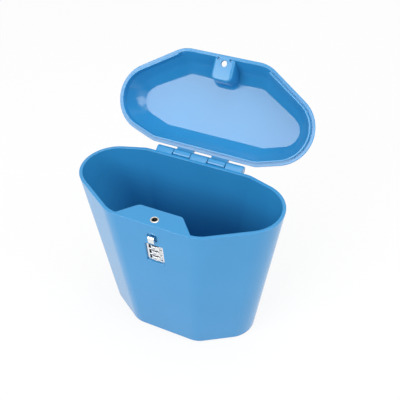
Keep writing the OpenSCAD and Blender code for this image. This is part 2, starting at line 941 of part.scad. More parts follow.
// Button: a block with a bevelled top edge on a neck that runs in the wall's slot
module release_button() {
    top = carrier_v + button_h / 2;
    low = carrier_v - button_h / 2;
    near = -seat_gap;
    color(chrome)
        on_front() {
            along_x(-button_w / 2, button_w)
                polygon([
                    [near, low], [near, top], [button_bevel - button_out, top],
                    [-button_out, top - button_bevel], [-button_out, low]
                ]);
            block(
                [-neck_w / 2, neck_w / 2],
                [near, latch_front + slide_gap],
                [carrier_v - carrier_t / 2, carrier_v + carrier_t / 2]
            );
        }
}

module release_carrier() {
    color(zinc)
        on_front()
            difference() {
                block(
                    [-carrier_half, carrier_half],
                    [latch_front + slide_gap, carrier_back],
                    [carrier_v - carrier_t / 2, carrier_v + carrier_t / 2]
                );
                translate([0, axis_w, carrier_v - carrier_t])
                    cylinder(r = spindle_r + press_fit, h = 2 * carrier_t);
                inward(0, axis_w, carrier_v)
                    cylinder(r = drive_pin_r + press_fit, h = carrier_back);
            }
}

module drive_pin() {
    from = axis_w + spindle_r + slide_gap;
    color(steel)
        on_front()
            inward(0, from, carrier_v)
                cylinder(r = drive_pin_r, h = latch_back + slide_gap - from);
}

// Latch plate: a keyhole plate under the eyelet, and a tab whose slanted slot follows the drive pin
module keyhole() {
    w = plug_w(latch_mid);
    slot_r = latch_slot_w / 2;
    translate([latch_travel, w, latch_low - cut])
        cylinder(r = latch_hole_r, h = latch_t + 2 * cut);
    block([0, latch_travel], [w - slot_r, w + slot_r], [latch_low - cut, latch_top + cut]);
    translate([0, w, latch_low - cut])
        cylinder(r = slot_r, h = latch_t + 2 * cut);
}

module drive_slot() {
    r = drive_pin_r + slide_gap / 2;
    reach = norm([latch_travel, slide_travel]);
    lean = atan2(latch_travel, slide_travel);
    translate([0, tab_w - cut, carrier_v])
        rotate([0, 180 - lean, 0]) {
            for (d = [0, reach])
                inward(0, 0, d)
                    cylinder(r = r, h = latch_t + 2 * cut);
            translate([-r, 0, 0])
                cube([2 * r, latch_t + 2 * cut, reach]);
        }
}

module latch_plate() {
    margin = drive_pin_d;
    color(steel)
        on_front()
            difference() {
                union() {
                    block(
                        [-latch_end, latch_end + latch_travel],
                        [latch_front, latch_back],
                        [latch_low, latch_top]
                    );
                    block(
                        [-drive_pin_r - margin, latch_travel + drive_pin_r + margin],
                        [tab_w, latch_back],
                        [carrier_v - slide_travel - drive_pin_r - margin, latch_top]
                    );
                }
                keyhole();
                drive_slot();
            }
}

// Lock case: a box open to the front, with a floor and a bridge that carry the spindle
module lock_case() {
    inner = case_half - case_wall;
    back = case_back - case_wall;
    bridge_top = case_bridge + case_wall;
    color(zinc)
        on_front()
            difference() {
                union() {
                    for (side = [-1, 1])
                        block(
                            side > 0 ? [inner, case_half] : [-case_half, -inner],
                            [case_front, case_back],
                            [case_bottom, case_top]
                        );
                    block([-case_half, case_half], [back, case_back], [case_bottom, case_top]);
                    block([-case_half, case_half], [case_front, case_back], [case_bottom, case_floor]);
                    block([-case_half, case_half], [case_front, case_back], [case_bridge, bridge_top]);
                    for (side = [-1, 1])
                        block(
                            side > 0 ? [inner, case_flange_half] : [-case_flange_half, -inner],
                            [case_front, case_front + case_wall],
                            [case_bottom, bridge_top]
                        );
                }
                translate([0, axis_w, case_bottom - cut])
                    cylinder(r = spindle_r + run_fit, h = bridge_top - case_bottom + 2 * cut);
                block(
                    [-case_half - cut, case_half + cut],
                    [0, latch_back + slide_gap],
                    [latch_low - slide_gap, latch_top + slide_gap]
                );
                for (u = [-case_screw_u, case_screw_u], v = case_screws_v)
                    inward(u, case_front - cut, v)
                        cylinder(r = case_screw_d / 2 + seat_gap, h = case_wall + 2 * cut);
            }
}

tub();
lid();
hinge_pin();
lock_housing();
housing_screws();
eyelet();
dial_frame();
for (i = [0 : 2]) {
    dial(i);
    code_sleeve(i);
}
spindle();
spindle_clip();
return_spring();
detent_spring();
release_button();
release_carrier();
drive_pin();
latch_plate();
lock_case();
case_screws();
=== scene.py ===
import json
import math

import bmesh
import bpy
from mathutils import Matrix, Vector


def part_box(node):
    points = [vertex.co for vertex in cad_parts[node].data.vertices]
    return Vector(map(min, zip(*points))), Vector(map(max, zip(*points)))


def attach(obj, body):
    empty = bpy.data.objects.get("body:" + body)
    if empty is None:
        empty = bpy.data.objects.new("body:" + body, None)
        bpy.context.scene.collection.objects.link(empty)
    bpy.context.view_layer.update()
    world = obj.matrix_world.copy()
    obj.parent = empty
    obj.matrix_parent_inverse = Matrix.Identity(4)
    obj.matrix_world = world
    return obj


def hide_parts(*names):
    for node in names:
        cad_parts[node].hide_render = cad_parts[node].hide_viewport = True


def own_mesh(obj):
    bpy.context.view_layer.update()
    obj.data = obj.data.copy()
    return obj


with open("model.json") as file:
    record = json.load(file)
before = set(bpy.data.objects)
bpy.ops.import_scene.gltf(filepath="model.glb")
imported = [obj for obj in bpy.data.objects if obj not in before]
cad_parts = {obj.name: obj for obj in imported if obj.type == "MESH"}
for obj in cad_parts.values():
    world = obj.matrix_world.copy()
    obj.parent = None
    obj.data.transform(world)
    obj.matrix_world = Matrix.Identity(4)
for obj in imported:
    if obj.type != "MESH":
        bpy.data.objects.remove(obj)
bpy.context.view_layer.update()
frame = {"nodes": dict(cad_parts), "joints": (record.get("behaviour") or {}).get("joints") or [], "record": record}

# Portable beach safe: a tapered tub, a tray lid on a knuckle hinge and a dial lock in the front wall.
# Shapes are drawn in millimetres and become metres when they are placed in the frame.
MM = 0.001
nodes = frame["nodes"]
joints = {joint["name"]: joint for joint in frame["joints"]}

# Tub, from the frame
tub_low, tub_high = (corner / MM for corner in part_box("tub"))
cover_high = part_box("lock_housing")[1] / MM
# The cover's shelf lies level with the rim, and the tub's box reaches past it to the knuckles
body_h = cover_high.z
half_w = tub_high.x
half_d = -tub_low.y
face_up = Vector(joints["first_dial_turn"]["axis"])
draft = math.atan2(-face_up.y, face_up.z)
base_share = 1 - body_h * math.tan(draft) / half_d

# Tub's corners, wall and edges
front_flat = 64
back_flat = 94
front_corner_r = 28
end_r = 32
back_corner_r = 20
end_back = 7
wall = 3
floor_t = 3.2
base_edge_r = 2.5
floor_edge_r = 1.5
rim_edge_r = 0.5

# Lid
lid_h = 24
lid_t = 2.8
lid_lean = math.radians(27)
lid_edge_r = 8
seam_gap = 0.3
lip_h = 3
lip_t = 1.6
lip_gap = 0.5
lip_break = 86
lip_edge_r = 0.5
lip_root = 0.1
# The lid's flat panel ends in a crisp edge, further back along the front, where a cove runs up to it
panel_inset = 17
panel_front = 4.3
cove_end = math.radians(50)
cove_rise = 7

# Cable pocket in the lid
boss_w = 20
boss_reach = 23
boss_edge_r = 2.6
boss_root_r = 3
boss_drop = 0.06
pocket_wall = 2.3
pocket_floor = 2.6
pocket_draft = math.radians(5)
pocket_hole_r = 2.8
hole_edge_r = 0.5
notch_r = 1.3
notch_depth = 1.3
bridge_w = 9

# Hinge
hinge = Vector(joints["lid_hinge"]["pos_m"]) / MM
lid_open = math.radians(joints["lid_hinge"]["range_deg"][1])
pin_low, pin_high = (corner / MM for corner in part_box("hinge_pin"))
pin_r = (pin_high.z - pin_low.z) / 2
knuckle_count = 5
knuckle_gap = 0.5
hinge_len = pin_high.x - pin_low.x + knuckle_gap
knuckle_r = 4
knuckle_edge_r = 0.5
pin_edge_r = 0.3
gusset_h = 8
gusset_drop = 1
web_h = 8
# Angles round a barrel at which its web meets it
web_steep = math.radians(60)
web_flat = math.radians(30)
heel_h = 3.4
stop_gap = 0.15

# Lock in the front wall: x runs across the face, y up along it and z out of it
dial_r = 7
dial_t = 4.4
dial_bore_r = 4
dial_digits = 10
dial_edge_r = 0.4
# Faces turned at least this far toward a dial's axis count as flanks and get the painted shade
shaded_flank_facing = 0.9
groove_half = math.radians(5)
groove_depth = 0.35
digit_size = 3.4
digit_rise = 0.03
frame_inset = 1.6
frame_t = 1
frame_half_w = 7.98
frame_half_h = 10.9
frame_corner_r = 0.8
frame_edge_r = 0.3
window_half_w = 6.8
window_half_h = 9.3
# The window's cutter ends this far under the face, inside the frame's seat
window_top = 1
slot_half_w = 5.88
slot_half_h = 2.8
slot_corner_r = 0.5
seat_gap = 0.1
seat_chamfer = 0.8
button_w = 5.6
button_h = 6.6
button_out = 3
button_bevel = 1
button_edge_r = 0.35
thumb_gap = 1.4
thumb_depth = 1
thumb_r = 2
thumb_edge_r = 0.3
neck_w = 3
neck_h = 3
# The neck runs this far past each face of the wall
neck_over = 1
slide_gap = 0.3
slide_travel = joints["release_slide"]["range_m"][1] / MM
button_low, button_high = (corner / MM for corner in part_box("release_button"))
coil_low, coil_high = (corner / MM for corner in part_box("return_spring"))
coil_wire_r = 0.25
coil_turns = 4
coil_steps = 32

# Cover behind the lock: a shelf at the rim over a box
shelf_half = cover_high.x
shelf_back_half = 21
shelf_t = 2.6
shelf_depth = 18.7
shelf_edge_r = 0.6
shelf_rise = 0.03
box_front_half = 29.1
box_back_half = 18
box_depth = 18.3
box_wall = 2.2
box_low = -55.2
box_edge_r = 1
box_chamfer = 2
room_top = -2 * shelf_t
# The eyelet's hole runs down into the room
hole_low = -3 * shelf_t
screw_hole_r = 1.5
screw_edge_r = 0.2
screw_x = 12.7
screw_high = -15.3
screw_low = -49.9

# Eyelet in the shelf
eyelet_low, eyelet_high = (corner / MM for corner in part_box("eyelet"))
eyelet_r = (eyelet_high.x - eyelet_low.x) / 2
eyelet_roll_r = 0.7
eyelet_wall = 0.5
eyelet_lip_r = 0.3
eyelet_crown = 0.3
eyelet_sink = 0.5

# How finely round shapes are drawn, and at which angles an edge counts as flat, as sharp and as a crease
arc_error = 0.01
edge_steps = 5
turn_sides = 64
bevel_steps = 3
flat_angle = math.radians(1)
sharp_angle = math.radians(40)
crease_angle = math.radians(35)
# Points closer than this are one point
weld = 0.001
# A cutter runs this far past what it cuts
overrun = 1
# A cutter's rounded mouth stands this far out of the face that it cuts, so that the two cross cleanly
cut_over = 0.02


# Shapes

def edge_normal(a, b):
    """Direction of the outline's normal on its straight run from disc a to disc b."""
    run = Vector((b[0] - a[0], b[1] - a[1]))
    return math.atan2(run.y, run.x) - math.acos((a[2] - b[2]) / run.length)


def outline(discs, share=1, inset=0):
    """Outline round a ring of discs: share scales their places and sizes, inset draws it in."""
    points = []
    for i, (x, y, r) in enumerate(discs):
        start = edge_normal(discs[i - 1], discs[i])
        span = (edge_normal(discs[i], discs[(i + 1) % len(discs)]) - start) % math.tau
        steps = math.ceil(span / (2 * math.acos(1 - arc_error / r)))
        for k in range(steps + 1):
            angle = start + span * k / steps
            reach = share * r - inset
            points.append((share * x + reach * math.cos(angle), share * y + reach * math.sin(angle)))
    return points


def box_discs(half_x, low_y, high_y, r):
    """Discs of a rounded rectangle."""
    x = half_x - r
    return [(-x, low_y + r, r), (x, low_y + r, r), (x, high_y - r, r), (-x, high_y - r, r)]


def stack(rings, closed=False):
    """Closed mesh through rings of points, capped at both ends or joined from last to first."""
    mesh = bmesh.new()
    made = [[mesh.verts.new(point) for point in ring] for ring in rings]
    pairs = list(zip(made, made[1:]))
    if closed:
        pairs.append((made[-1], made[0]))
    else:
        mesh.faces.new(reversed(made[0]))
        mesh.faces.new(made[-1])
    for low, high in pairs:
        for i in range(len(low)):
            j = (i + 1) % len(low)
            mesh.faces.new((low[i], low[j], high[j], high[i]))
    return mesh


def loft(discs, levels, closed=False):
    """Mesh through outlines, each level being a height, a share and an inset."""
    rings = [[(x, y, z) for x, y in outline(discs, share, inset)] for z, share, inset in levels]
    return stack(rings, closed)


def turned(profile, closed=False, reach=None):
    """Mesh turned about Z from radii and heights. A change of radius, if given, spares a dial's bore."""
    rings = []
    for r, z in profile:
        ring = []
        for k in range(turn_sides):
            angle = math.tau * k / turn_sides
            out = r + (reach(angle) if reach and r > dial_bore_r else 0)
            ring.append((out * math.cos(angle), out * math.sin(angle), z))
        rings.append(ring)
    return stack(rings, closed)


def prism(points, start, end, edge=0):
    """Mesh from an outline in Y and Z that runs along X, with its edges rounded."""
    mesh = bmesh.new()
    near = [mesh.verts.new((start, y, z)) for y, z in points]
    far = [mesh.verts.new((end, y, z)) for y, z in points]
    mesh.faces.new(near)
    mesh.faces.new(reversed(far))
    for i in range(len(points)):
        j = (i + 1) % len(points)
        mesh.faces.new((near[j], near[i], far[i], far[j]))
    if edge:
        round_edges(mesh, mesh.edges[:], edge)
    return mesh


def round_edges(mesh, edges, width):
    bmesh.ops.bevel(
        mesh, geom=edges, offset=width, offset_type="OFFSET", segments=bevel_steps, profile=0.5,
        affect="EDGES", clamp_overlap=True,
    )


def arc(start=0, end=90, steps=edge_steps):
    """Angles in radians from start to end, given in degrees."""
    return [math.radians(start + (end - start) * i / steps) for i in range(steps + 1)]


# Pieces

def solid(name, mesh, place=Matrix()):
    """Object made from a mesh, still in millimetres."""
    bmesh.ops.transform(mesh, matrix=place, verts=mesh.verts)
    bmesh.ops.recalc_face_normals(mesh, faces=mesh.faces)
    data = bpy.data.meshes.new(name)
    mesh.to_mesh(data)
    mesh.free()
    made = bpy.data.objects.new(name, data)
    bpy.context.scene.collection.objects.link(made)
    return made


def carve(piece, tool, operation="DIFFERENCE"):
    """Cuts the tool out of the piece, or joins it on, and removes the tool."""
    cut = piece.modifiers.new("cut", "BOOLEAN")
    cut.operation = operation
    cut.solver = "EXACT"
    cut.object = tool
    worked = piece.evaluated_get(bpy.context.evaluated_depsgraph_get())
    data = bpy.data.meshes.new_from_object(worked)
    piece.modifiers.clear()
    piece.data = data
    bpy.data.objects.remove(tool)


def softened(node, width):
    """Copy of a node's solid with its sharp edges rounded."""
    mesh = bmesh.new()
    mesh.from_mesh(nodes[node].data)
    bmesh.ops.transform(mesh, matrix=Matrix.Scale(1 / MM, 4), verts=mesh.verts)
    bmesh.ops.remove_doubles(mesh, verts=mesh.verts, dist=weld)
    bmesh.ops.dissolve_limit(mesh, angle_limit=flat_angle, verts=mesh.verts, edges=mesh.edges)
    sharp = [e for e in mesh.edges if e.is_manifold and e.calc_face_angle() > sharp_angle]
    round_edges(mesh, sharp, width)
    return mesh


def dress(piece, body, material, slot, *stands_for):
    """Cleans a piece, brings it to metres, gives it its finish and says what it rides and stands for."""
    mesh = bmesh.new()
    mesh.from_mesh(piece.data)
    bmesh.ops.dissolve_degenerate(mesh, dist=weld, edges=mesh.edges)
    mesh.to_mesh(piece.data)
    mesh.free()
    piece.data.transform(Matrix.Scale(MM, 4))
    piece.data.materials.clear()
    piece.data.materials.append(material)
    piece.data.shade_smooth()
    piece.data.set_sharp_from_angle(angle=crease_angle)
    normals = piece.modifiers.new("even normals", "WEIGHTED_NORMAL")
    normals.keep_sharp = True
    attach(piece, body)
    if stands_for:
        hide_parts(*stands_for)
    return piece


# Materials

# Noise lies mostly between these two values
noise_low = 0.3
noise_high = 0.7


def linear(colour):
    """Linear colour from an sRGB hex value."""
    parts = [int(colour[i:i + 2], 16) / 255 for i in (1, 3, 5)]
    return [c / 12.92 if c <= 0.04045 else ((c + 0.055) / 1.055) ** 2.4 for c in parts] + [1]


def add(tree, kind, inputs=None, **settings):
    """Adds a node, sets its settings, and sets or links its inputs."""
    made = tree.nodes.new(kind)
    for name, value in settings.items():
        setattr(made, name, value)
    for name, value in (inputs or {}).items():
        if isinstance(value, bpy.types.NodeSocket):
            tree.links.new(value, made.inputs[name])
        else:
            made.inputs[name].default_value = value
    return made


def new_material(name):
    """New material's node tree with nothing in it."""
    material = bpy.data.materials.new(name)
    material.use_nodes = True
    material.node_tree.nodes.clear()
    return material, material.node_tree


def per_mm(size):
    """Pattern scale at which a feature of that many millimetres repeats."""
    return 1 / (size * MM)


def moulded_abs():
    """ABS, injection-moulded in a polished tool: a clean gloss over solid colour, with faint flow
    marks in the gloss and a shallow swell, about 25 mm long, where the plastic shrank."""
    material, tree = new_material("blue_abs_moulded")
    place = add(tree, "ShaderNodeTexCoord").outputs["Object"]
    flow = add(tree, "ShaderNodeTexNoise", {"Vector": place, "Scale": per_mm(40), "Detail": 1})
    ripple = add(tree, "ShaderNodeTexNoise", {"Vector": place, "Scale": per_mm(25), "Detail": 0})
    shade = add(tree, "ShaderNodeValToRGB", {"Fac": flow.outputs["Fac"]})
    shade.color_ramp.elements[0].color = linear("#2d88c0")
    shade.color_ramp.elements[1].color = linear("#338fc7")
    gloss = add(tree, "ShaderNodeMapRange", {
        "Value": flow.outputs["Fac"], "From Min": noise_low, "From Max": noise_high,
        "To Min": 0.14, "To Max": 0.18,
    })
    relief = add(tree, "ShaderNodeBump", {
        "Height": ripple.outputs["Fac"], "Strength": 0.1, "Distance": 0.1 * MM,
    })
    surface = add(tree, "ShaderNodeBsdfPrincipled", {
        "Base Color": shade.outputs["Color"], "Roughness": gloss.outputs["Result"],
        "IOR": 1.54, "Normal": relief.outputs["Normal"],
    })
    add(tree, "ShaderNodeOutputMaterial", {"Surface": surface.outputs["BSDF"]})
    return material


def metal(name, colour, low, high, grain, depth):
    """Metal whose gloss and relief vary over a grain of that many millimetres."""
    material, tree = new_material(name)
    place = add(tree, "ShaderNodeTexCoord").outputs["Object"]
    marks = add(tree, "ShaderNodeTexNoise", {"Vector": place, "Scale": per_mm(grain), "Detail": 4})
    gloss = add(tree, "ShaderNodeMapRange", {
        "Value": marks.outputs["Fac"], "From Min": noise_low, "From Max": noise_high,
        "To Min": low, "To Max": high,
    })
    relief = add(tree, "ShaderNodeBump", {
        "Height": marks.outputs["Fac"], "Strength": 0.1, "Distance": depth * MM,
    })
    surface = add(tree, "ShaderNodeBsdfPrincipled", {
        "Base Color": linear(colour), "Metallic": 1.0, "Roughness": gloss.outputs["Result"],
        "Normal": relief.outputs["Normal"],
    })
    add(tree, "ShaderNodeOutputMaterial", {"Surface": surface.outputs["BSDF"]})
    return material


def filled_paint():
    """Enamel wiped into cut numbers: a dull black, a little uneven where it was wiped."""
    material, tree = new_material("black_enamel_wiped")
    place = add(tree, "ShaderNodeTexCoord").outputs["Object"]
    wipe = add(tree, "ShaderNodeTexNoise", {"Vector": place, "Scale": per_mm(0.6), "Detail": 2})
    shade = add(tree, "ShaderNodeValToRGB", {"Fac": wipe.outputs["Fac"]})
    shade.color_ramp.elements[0].color = linear("#3c4046")
    shade.color_ramp.elements[1].color = linear("#5a5f66")
    surface = add(tree, "ShaderNodeBsdfPrincipled", {
        "Base Color": shade.outputs["Color"], "Roughness": 0.5,
    })
    add(tree, "ShaderNodeOutputMaterial", {"Surface": surface.outputs["BSDF"]})
    return material


blue_abs = moulded_abs()
# Chrome on a polished zinc casting: a near mirror, with the slight waviness of a small plated part
chrome = metal("chrome_plated_polished", "#e6e8ea", low=0.06, high=0.12, grain=3, depth=0.002)
# Nickel on a pressed and tumbled brass eyelet: warmer and softer than the chrome
nickel = metal("nickel_plated_tumbled", "#d3d0c8", low=0.26, high=0.34, grain=1, depth=0.005)
# Steel with a bright zinc coat: a soft sheen with a fine crystal bloom, drawn coarser so that it shows
plated_steel = metal("steel_zinc_plated", "#b9bdc2", low=0.25, high=0.4, grain=0.8, depth=0.02)
# Brass off the lathe: warm and fairly bright, with its tool marks drawn coarser so that they show
turned_brass = metal("brass_turned", "#c9a556", low=0.2, high=0.35, grain=0.5, depth=0.02)
# Zinc as it left the die: grey, dull and slightly grainy, with the grain drawn coarser so that it shows
# It also goes on the dials' flanks, as painted shade in their slots
cast_zinc_and_flank_shade = metal("zinc_die_cast", "#8f949b", low=0.45, high=0.6, grain=0.7, depth=0.06)
enamel = filled_paint()

finishes = {
    "blue_plastic": blue_abs, "chrome_plate": chrome, "brass": turned_brass,
    "zinc_casting": cast_zinc_and_flank_shade, "steel": plated_steel,
}
for part in frame["record"]["subparts"]:
    data = nodes[part["node"]].data
    data.materials.clear()
    data.materials.append(finishes[part["material_slot"]])


# Places: the front wall's own frame, the same with z out of the wall, and the open lid
on_front = Matrix.Translation((0, -half_d, body_h)) @ Matrix.Rotation(draft, 4, "X")
on_face = on_front @ Matrix.Rotation(math.radians(90), 4, "X")
swing = Matrix.Translation(hinge) @ Matrix.Rotation(-lid_open, 4, "X") @ Matrix.Translation(-hinge)
on_lid = swing @ Matrix.Translation((0, 0, body_h + seam_gap))


def face_place(point):
    """A point of the frame, in metres, as a place on the front wall."""
    return on_face.inverted() @ (Vector(point) / MM)


mounts = {mount["name"]: mount for mount in frame["record"]["mounts"]}
dial_names = ["first_dial", "second_dial", "third_dial"]
dial_places = [face_place(joints[f"{name}_turn"]["pos_m"]) for name in dial_names]
dials_y = dial_places[1].y
button_y = face_place((button_low + button_high) / 2 * MM).y
screw_places = [(side * screw_x, z) for side in (-1, 1) for z in (screw_high, screw_low)]

# Round corners of the rim, counter-clockwise from the front left
front_disc = (front_flat / 2, front_corner_r - half_d, front_corner_r)
end_disc = (half_w - end_r, end_back, end_r)
back_disc = (back_flat / 2, half_d - back_corner_r, back_corner_r)
rim_discs = [
    (-front_disc[0], *front_disc[1:]), front_disc, end_disc,
    back_disc, (-back_disc[0], *back_disc[1:]), (-end_disc[0], *end_disc[1:]),
]


def share_at(z):
    return base_share + (1 - base_share) * z / body_h


# Hinge knuckles

knuckle_pitch = hinge_len / knuckle_count
hinge_out = hinge.y - half_d
hinge_drop = body_h - hinge.z
along_x = Matrix.Translation(hinge) @ Matrix.Rotation(math.radians(90), 4, "Y")


def knuckle_span(i):
    start_x = i * knuckle_pitch - hinge_len / 2 + knuckle_gap / 2
    return start_x, start_x + knuckle_pitch - knuckle_gap


def knuckle_barrel(i):
    """Barrel of one knuckle, with its end edges rounded."""
    low, high = knuckle_span(i)
    r = knuckle_edge_r
    profile = [(knuckle_r - r + r * math.sin(a), low + r - r * math.cos(a)) for a in arc()]
    profile += [(knuckle_r - r + r * math.cos(a), high - r + r * math.sin(a)) for a in arc()]
    return solid("barrel", turned(profile), along_x)


def knuckle_web(i, points, place=Matrix()):
    """Web of one knuckle, from points in Y and Z about the pin."""
    low, high = knuckle_span(i)
    inset = knuckle_edge_r / 2
    shape = prism(points, low + inset, high - inset, knuckle_edge_r)
    return solid("web", shape, place @ Matrix.Translation((0, hinge.y, hinge.z)))


def pin_hole():
    reach = hinge_len
    return solid("pin_hole", turned([(pin_r, -reach), (pin_r, reach)]), along_x)


# Tub

def tub_shell():
    levels = []
    for a in arc():
        z = base_edge_r * (1 - math.cos(a))
        levels.append((z, share_at(z), base_edge_r * (1 - math.sin(a))))
    for a in arc():
        z = body_h - rim_edge_r * (1 - math.sin(a))
        levels.append((z, share_at(z), rim_edge_r * (1 - math.cos(a))))
    for a in arc():
        z = body_h - rim_edge_r * (1 - math.cos(a))
        levels.append((z, share_at(z), wall - rim_edge_r * (1 - math.sin(a))))
    for a in arc(90, 0):
        z = floor_t + floor_edge_r * (1 - math.cos(a))
        levels.append((z, share_at(z), wall + floor_edge_r * (1 - math.sin(a))))
    shell = solid("tub_shell", loft(rim_discs, levels))
    back = -hinge_out - wall / 2 - hinge_drop * math.tan(draft)
    web = [
        (back, hinge_drop - gusset_drop),
        (-knuckle_r * math.cos(web_steep), knuckle_r * math.sin(web_steep)),
        (knuckle_r * math.cos(web_steep), -knuckle_r * math.sin(web_steep)),
        (back - gusset_h * math.tan(draft), -gusset_h),
    ]
    for i in range(0, knuckle_count, 2):
        carve(shell, knuckle_barrel(i), "UNION")
        carve(shell, knuckle_web(i, web), "UNION")
    carve(shell, pin_hole())
    seat_depth = frame_inset + frame_t
    carve(shell, recess(frame_half_w, frame_half_h, seat_depth, dials_y, frame_corner_r, seat_chamfer))
    thumb_half = (button_h + thumb_gap) / 2
    carve(shell, recess(
        button_w / 2 + thumb_gap, thumb_half, thumb_depth, button_y + thumb_gap / 2, thumb_r, thumb_edge_r,
    ))
    window = box_discs(window_half_w, dials_y - window_half_h, dials_y + window_half_h, frame_corner_r)
    window_levels = [(-wall - overrun, 1, 0), (-window_top, 1, 0)]
    carve(shell, solid("window", loft(window, window_levels), on_face))
    slot_top = button_y + neck_h / 2 + slide_gap
    slot_low = button_y - neck_h / 2 - slide_travel - slide_gap
    half_slot = neck_w / 2 + slide_gap
    slot_y = (slot_top + slot_low) / 2
    slot_half = (slot_top - slot_low) / 2
    carve(shell, recess(half_slot, slot_half, wall + overrun, slot_y, half_slot / 2, thumb_edge_r))
    return shell


def recess(half_x, half_y, depth, centre, corner, mouth):
    """Cutter for a recess in the front wall, with its mouth rounded to that radius."""
    x = half_x + seat_gap
    y = half_y + seat_gap
    levels = [(-depth, 1, 0)]
    levels += [(cut_over + mouth * (math.sin(a) - 1), 1, mouth * (math.cos(a) - 1)) for a in arc()]
    levels.append((overrun, 1, -mouth))
    return solid("recess", loft(box_discs(x, centre - y, centre + y, corner), levels), on_face)


# Lid, drawn shut with its rim at zero height

def lid_side(inset, edge_r):
    """Levels up the lid's leaning side and over the edge of its top."""
    z = lid_h - lid_edge_r
    centre = inset + (edge_r + z * math.sin(lid_lean)) / math.cos(lid_lean)
    lean = math.degrees(lid_lean)
    turn = arc(lean, 90, 2 * edge_steps)
    return [(z + edge_r * math.sin(a), 1, centre - edge_r * math.cos(a)) for a in turn]


def lid_skin():
    r = rim_edge_r
    rim = [(r * (1 - math.sin(a)), 1, r * (1 - math.cos(a))) for a in arc(90, 0)]
    return solid("lid_shell", loft(rim_discs, rim + lid_side(0, lid_edge_r)), on_lid)


def lid_hollow():
    """Inside of the lid: leaning sides, then a cove that meets the flat panel in a crisp edge."""
    r = rim_edge_r
    panel_z = lid_h - lid_t
    spare = panel_inset - wall - panel_z * math.tan(lid_lean)
    across = math.cos(lid_lean) - math.cos(cove_end)
    along = math.sin(cove_end) - math.sin(lid_lean)
    cove_r = spare / (across - along * math.tan(lid_lean))
    cove_z = panel_z - cove_r * math.sin(cove_end)
    cove_inset = panel_inset + cove_r * math.cos(cove_end)
    levels = [(-overrun, wall - r)]
    levels += [(r * (1 - math.cos(a)), wall - r * (1 - math.sin(a))) for a in arc()]
    levels += [
        (cove_z + cove_r * math.sin(a), cove_inset - cove_r * math.cos(a))
        for a in arc(math.degrees(lid_lean), math.degrees(cove_end), 2 * edge_steps)
    ]
    rings = []
    for z, inset in levels:
        points = outline(rim_discs, 1, inset)
        front = min(y for x, y in points)
        pull = panel_front * max(0, (z - panel_z) / cove_rise + 1)
        share = pull / (end_back - front)
        rings.append([(x, y + share * max(0, end_back - y), z) for x, y in points])
    return solid("hollow", stack(rings), on_lid)


def boss():
    discs = box_discs(boss_w / 2, -half_d, boss_reach - half_d, 2 * boss_edge_r)
    r = boss_edge_r
    levels = [(boss_drop + r * (1 - math.cos(a)), 1, r * (1 - math.sin(a))) for a in arc()]
    root = lid_h - lid_t - boss_root_r + seat_gap
    for a in arc():
        z = root + boss_root_r * math.sin(a)
        levels.append((z, 1, -z * math.tan(pocket_draft) - boss_root_r * (1 - math.cos(a))))
    levels.append((lid_h, 1, levels[-1][2]))
    return solid("boss", loft(discs, levels), on_lid)


def pocket():
    far = boss_reach - half_d - pocket_wall
    discs = box_discs(boss_w / 2 - pocket_wall, wall - half_d, far, boss_edge_r)
    r = hole_edge_r
    levels = [(pocket_floor + r * (1 - math.cos(a)), 1, r * (1 - math.sin(a))) for a in arc()]
    levels.append((lid_h - r, 1, -(lid_h - r) * math.tan(pocket_draft)))
    levels.append((lid_h + overrun, 1, -lid_h * math.tan(pocket_draft) - 2 * r))
    return solid("pocket", loft(discs, levels), on_lid)


def pocket_hole():
    r = hole_edge_r
    profile = [(pocket_hole_r + r, -overrun)]
    face = boss_drop - cut_over
    profile += [(pocket_hole_r + r * (1 - math.sin(a)), face + r * (1 - math.cos(a))) for a in arc()]
    profile.append((pocket_hole_r, pocket_floor + overrun))
    spot = on_lid.inverted() @ (Vector(mounts["lid_cable_hole"]["pos_m"]) / MM)
    return solid("hole", turned(profile), on_lid @ Matrix.Translation((0, spot.y, 0)))


def boss_notch(side):
    profile = [(notch_r, -overrun), (notch_r, notch_depth)]
    spot = (side * (bridge_w / 2 + notch_r), wall + notch_r / 2 - half_d, 0)
    return solid("notch", turned(profile), on_lid @ Matrix.Translation(spot))


def lip():
    """Lip that reaches into the tub's mouth all round but across the front."""
    outer = wall + lip_gap
    inner = outer + lip_t
    top = (inner - wall) / math.tan(lid_lean) + lip_root
    inside = wall - rim_edge_r - lip_root
    r = lip_edge_r
    section = [(r * (1 - math.cos(a)) - lip_h, 1, outer + r * (1 - math.sin(a))) for a in arc()]
    section += [(lip_root, 1, outer), (lip_root, 1, inside), (top, 1, inside), (top, 1, inner)]
    section += [(r * (1 - math.cos(a)) - lip_h, 1, inner - r * (1 - math.sin(a))) for a in arc(90, 0)]
    ring = solid("lip", loft(rim_discs, section, closed=True), on_lid)
    low = -lip_h - overrun
    gap = [(-half_d, low), (0, low), (0, lid_h), (-half_d, lid_h)]
    carve(ring, solid("gap", prism(gap, -lip_break / 2, lip_break / 2), on_lid))
    return ring


def lid_shell():
    inside = lid_hollow()
    carve(inside, boss())
    shell = lid_skin()
    carve(shell, inside)
    rim = hinge_drop + seam_gap
    near = -hinge_out - wall / 2
    web = [
        (near, rim + knuckle_gap),
        (-knuckle_r * math.cos(web_flat), knuckle_r * math.sin(web_flat)),
        (knuckle_r * math.cos(web_steep), knuckle_r * math.sin(web_steep)),
        (near - web_h * math.tan(lid_lean), rim + web_h),
    ]
    stop = hinge_out + hinge_drop * math.tan(draft) - stop_gap
    heel = [
        (-stop, 0), (-knuckle_r / 2, 0),
        (-knuckle_r / 2, -heel_h), (-stop - heel_h * math.tan(draft), -heel_h),
    ]
    for i in range(1, knuckle_count, 2):
        carve(shell, knuckle_barrel(i), "UNION")
        carve(shell, knuckle_web(i, web, swing), "UNION")
        carve(shell, knuckle_web(i, heel), "UNION")
    carve(shell, pin_hole())
    carve(shell, pocket())
    carve(shell, pocket_hole())
    for side in (-1, 1):
        carve(shell, boss_notch(side))
    carve(shell, lip(), "UNION")
    return shell


# Lock

